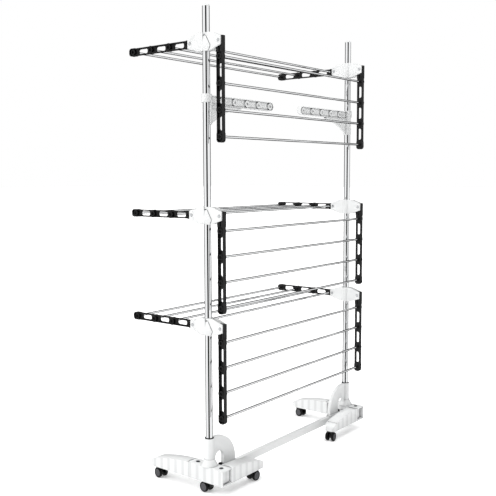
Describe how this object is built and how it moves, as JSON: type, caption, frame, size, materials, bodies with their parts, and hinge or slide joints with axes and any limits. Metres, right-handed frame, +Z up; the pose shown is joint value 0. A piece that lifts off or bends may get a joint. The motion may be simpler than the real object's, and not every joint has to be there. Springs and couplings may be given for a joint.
{
  "type": "clothes drying rack",
  "caption": "Upright clothes drying rack on casters: two steel posts with folding wings of rods on stacked tiers, swinging hanger arms and fold-in legs.",
  "frame": {"origin": "on the floor, below the middle of the whole rack; the two posts stand at y = -0.14675", "axes": "+Z up, X along the rods with the left post at -X, +Y towards the raised wings (rear); the hanging wings and folded-in legs are at -Y"},
  "size_m": [1.014, 0.4584, 1.74],
  "materials": {
    "post_steel": "bright plated steel tube",
    "rod_steel": "bright plated thin tube",
    "screw_steel": "dark zinc plated",
    "pin_steel": "bright zinc plated",
    "white_plastic": "moulded, slight sheen",
    "white_paint": "smooth white coating",
    "black_plastic": "moulded, fine grain",
    "wheel_plastic": "hard moulded tread"
  },
  "bodies": {
    "frame": {"left_post": "post_steel", "right_post": "post_steel", "post_caps": "white_plastic", "hub_screws": "screw_steel", "leg_pins": "screw_steel", "crossbar": "white_paint", "low_left_hub_front": "white_plastic", "low_left_hub_rear": "white_plastic", "low_right_hub_front": "white_plastic", "low_right_hub_rear": "white_plastic", "mid_left_hub_front": "white_plastic", "mid_left_hub_rear": "white_plastic", "mid_right_hub_front": "white_plastic", "mid_right_hub_rear": "white_plastic", "top_left_hub_front": "white_plastic", "top_left_hub_rear": "white_plastic", "top_right_hub_front": "white_plastic", "top_right_hub_rear": "white_plastic", "left_bracket": "white_plastic", "left_foot": "white_plastic", "right_bracket": "white_plastic", "right_foot": "white_plastic"},
    "low_front_pins": {"low_front_pivots": "pin_steel"},
    "low_front_wing": {"low_front_bars": "black_plastic", "low_front_rods": "rod_steel"},
    "low_rear_pins": {"low_rear_pivots": "pin_steel"},
    "low_rear_wing": {"low_rear_bars": "black_plastic", "low_rear_rods": "rod_steel"},
    "mid_front_pins": {"mid_front_pivots": "pin_steel"},
    "mid_front_wing": {"mid_front_bars": "black_plastic", "mid_front_rods": "rod_steel"},
    "mid_rear_pins": {"mid_rear_pivots": "pin_steel"},
    "mid_rear_wing": {"mid_rear_bars": "black_plastic", "mid_rear_rods": "rod_steel"},
    "top_front_pins": {"top_front_pivots": "pin_steel"},
    "top_front_wing": {"top_front_bars": "black_plastic", "top_front_rods": "rod_steel"},
    "top_rear_pins": {"top_rear_pivots": "pin_steel"},
    "top_rear_wing": {"top_rear_bars": "black_plastic", "top_rear_rods": "rod_steel"},
    "left_hanger_arm": {"left_arm": "white_plastic"},
    "right_hanger_arm": {"right_arm": "white_plastic"},
    "left_front_leg_body": {"left_front_leg": "white_plastic"},
    "left_rear_leg_body": {"left_rear_leg": "white_plastic"},
    "right_front_leg_body": {"right_front_leg": "white_plastic"},
    "right_rear_leg_body": {"right_rear_leg": "white_plastic"},
    "left_front_fork": {"left_front_caster": "black_plastic"},
    "left_front_wheel_pair": {"left_front_wheels": "wheel_plastic"},
    "left_mid_fork": {"left_mid_caster": "black_plastic"},
    "left_mid_wheel_pair": {"left_mid_wheels": "wheel_plastic"},
    "left_rear_fork": {"left_rear_caster": "black_plastic"},
    "left_rear_wheel_pair": {"left_rear_wheels": "wheel_plastic"},
    "right_front_fork": {"right_front_caster": "black_plastic"},
    "right_front_wheel_pair": {"right_front_wheels": "wheel_plastic"},
    "right_mid_fork": {"right_mid_caster": "black_plastic"},
    "right_mid_wheel_pair": {"right_mid_wheels": "wheel_plastic"},
    "right_rear_fork": {"right_rear_caster": "black_plastic"},
    "right_rear_wheel_pair": {"right_rear_wheels": "wheel_plastic"}
  },
  "joints": [
    {"name": "low_front_swing", "type": "hinge", "parent": "frame", "child": "low_front_pins", "pos_m": [0, -0.21175, 0.613], "axis": [-1, 0, 0], "range_deg": [0, 90]},
    {"name": "low_front_push", "type": "slide", "parent": "low_front_pins", "child": "low_front_wing", "axis": [0, 0, 1], "range_m": [0, 0.035]},
    {"name": "low_rear_swing", "type": "hinge", "parent": "frame", "child": "low_rear_pins", "pos_m": [0, -0.08175, 0.613], "axis": [-1, 0, 0], "range_deg": [0, 90]},
    {"name": "low_rear_push", "type": "slide", "parent": "low_rear_pins", "child": "low_rear_wing", "axis": [0, 1, 0], "range_m": [0, 0.035]},
    {"name": "mid_front_swing", "type": "hinge", "parent": "frame", "child": "mid_front_pins", "pos_m": [0, -0.21175, 1.01], "axis": [-1, 0, 0], "range_deg": [0, 90]},
    {"name": "mid_front_push", "type": "slide", "parent": "mid_front_pins", "child": "mid_front_wing", "axis": [0, 0, 1], "range_m": [0, 0.035]},
    {"name": "mid_rear_swing", "type": "hinge", "parent": "frame", "child": "mid_rear_pins", "pos_m": [0, -0.08175, 1.01], "axis": [-1, 0, 0], "range_deg": [0, 90]},
    {"name": "mid_rear_push", "type": "slide", "parent": "mid_rear_pins", "child": "mid_rear_wing", "axis": [0, 1, 0], "range_m": [0, 0.035]},
    {"name": "top_front_swing", "type": "hinge", "parent": "frame", "child": "top_front_pins", "pos_m": [0, -0.21175, 1.61], "axis": [-1, 0, 0], "range_deg": [0, 90]},
    {"name": "top_front_push", "type": "slide", "parent": "top_front_pins", "child": "top_front_wing", "axis": [0, 0, 1], "range_m": [0, 0.035]},
    {"name": "top_rear_swing", "type": "hinge", "parent": "frame", "child": "top_rear_pins", "pos_m": [0, -0.08175, 1.61], "axis": [-1, 0, 0], "range_deg": [0, 90]},
    {"name": "top_rear_push", "type": "slide", "parent": "top_rear_pins", "child": "top_rear_wing", "axis": [0, 1, 0], "range_m": [0, 0.035]},
    {"name": "left_arm_swing", "type": "hinge", "parent": "frame", "child": "left_hanger_arm", "pos_m": [-0.476, -0.14675, 1.4135], "axis": [0, 0, 1], "range_deg": [0, 180]},
    {"name": "right_arm_swing", "type": "hinge", "parent": "frame", "child": "right_hanger_arm", "pos_m": [0.476, -0.14675, 1.4135], "axis": [0, 0, -1], "range_deg": [0, 180]},
    {"name": "left_front_leg_fold", "type": "hinge", "parent": "frame", "child": "left_front_leg_body", "pos_m": [-0.476, -0.20275, 0.072], "axis": [0, 0, -1], "range_deg": [0, 90]},
    {"name": "left_rear_leg_fold", "type": "hinge", "parent": "frame", "child": "left_rear_leg_body", "pos_m": [-0.476, -0.09075, 0.072], "axis": [0, 0, -1], "range_deg": [0, 90]},
    {"name": "right_front_leg_fold", "type": "hinge", "parent": "frame", "child": "right_front_leg_body", "pos_m": [0.476, -0.20275, 0.072], "axis": [0, 0, 1], "range_deg": [0, 90]},
    {"name": "right_rear_leg_fold", "type": "hinge", "parent": "frame", "child": "right_rear_leg_body", "pos_m": [0.476, -0.09075, 0.072], "axis": [0, 0, 1], "range_deg": [0, 90]},
    {"name": "left_front_swivel", "type": "hinge", "parent": "left_front_leg_body", "child": "left_front_fork", "pos_m": [-0.274, -0.20275, 0.043], "axis": [0, 0, 1], "continuous": true},
    {"name": "left_front_roll", "type": "hinge", "parent": "left_front_fork", "child": "left_front_wheel_pair", "pos_m": [-0.289, -0.20275, 0.0195], "axis": [0, -1, 0], "continuous": true},
    {"name": "left_mid_swivel", "type": "hinge", "parent": "frame", "child": "left_mid_fork", "pos_m": [-0.476, -0.14675, 0.043], "axis": [0, 0, 1], "continuous": true},
    {"name": "left_mid_roll", "type": "hinge", "parent": "left_mid_fork", "child": "left_mid_wheel_pair", "pos_m": [-0.47469, -0.13181, 0.0195], "axis": [-0.9962, 0.0872, 0], "continuous": true},
    {"name": "left_rear_swivel", "type": "hinge", "parent": "left_rear_leg_body", "child": "left_rear_fork", "pos_m": [-0.476, 0.11125, 0.043], "axis": [0, 0, 1], "continuous": true},
    {"name": "left_rear_roll", "type": "hinge", "parent": "left_rear_fork", "child": "left_rear_wheel_pair", "pos_m": [-0.47861, 0.09648, 0.0195], "axis": [0.9848, -0.1736, 0], "continuous": true},
    {"name": "right_front_swivel", "type": "hinge", "parent": "right_front_leg_body", "child": "right_front_fork", "pos_m": [0.274, -0.20275, 0.043], "axis": [0, 0, 1], "continuous": true},
    {"name": "right_front_roll", "type": "hinge", "parent": "right_front_fork", "child": "right_front_wheel_pair", "pos_m": [0.25923, -0.20536, 0.0195], "axis": [0.1736, -0.9848, 0], "continuous": true},
    {"name": "right_mid_swivel", "type": "hinge", "parent": "frame", "child": "right_mid_fork", "pos_m": [0.476, -0.14675, 0.043], "axis": [0, 0, 1], "continuous": true},
    {"name": "right_mid_roll", "type": "hinge", "parent": "right_mid_fork", "child": "right_mid_wheel_pair", "pos_m": [0.4685, -0.13376, 0.0195], "axis": [-0.866, -0.5, 0], "continuous": true},
    {"name": "right_rear_swivel", "type": "hinge", "parent": "right_rear_leg_body", "child": "right_rear_fork", "pos_m": [0.476, 0.11125, 0.043], "axis": [0, 0, 1], "continuous": true},
    {"name": "right_rear_roll", "type": "hinge", "parent": "right_rear_fork", "child": "right_rear_wheel_pair", "pos_m": [0.4734, 0.09648, 0.0195], "axis": [0.9848, -0.1736, 0], "continuous": true}
  ],
  "couplings": [
    {"joint": "low_front_push", "follows": "low_front_swing", "m_per_rad": 0.022281},
    {"joint": "low_rear_push", "follows": "low_rear_swing", "m_per_rad": 0.022281},
    {"joint": "mid_front_push", "follows": "mid_front_swing", "m_per_rad": 0.022281},
    {"joint": "mid_rear_push", "follows": "mid_rear_swing", "m_per_rad": 0.022281},
    {"joint": "top_front_push", "follows": "top_front_swing", "m_per_rad": 0.022281},
    {"joint": "top_rear_push", "follows": "top_rear_swing", "m_per_rad": 0.022281}
  ]
}
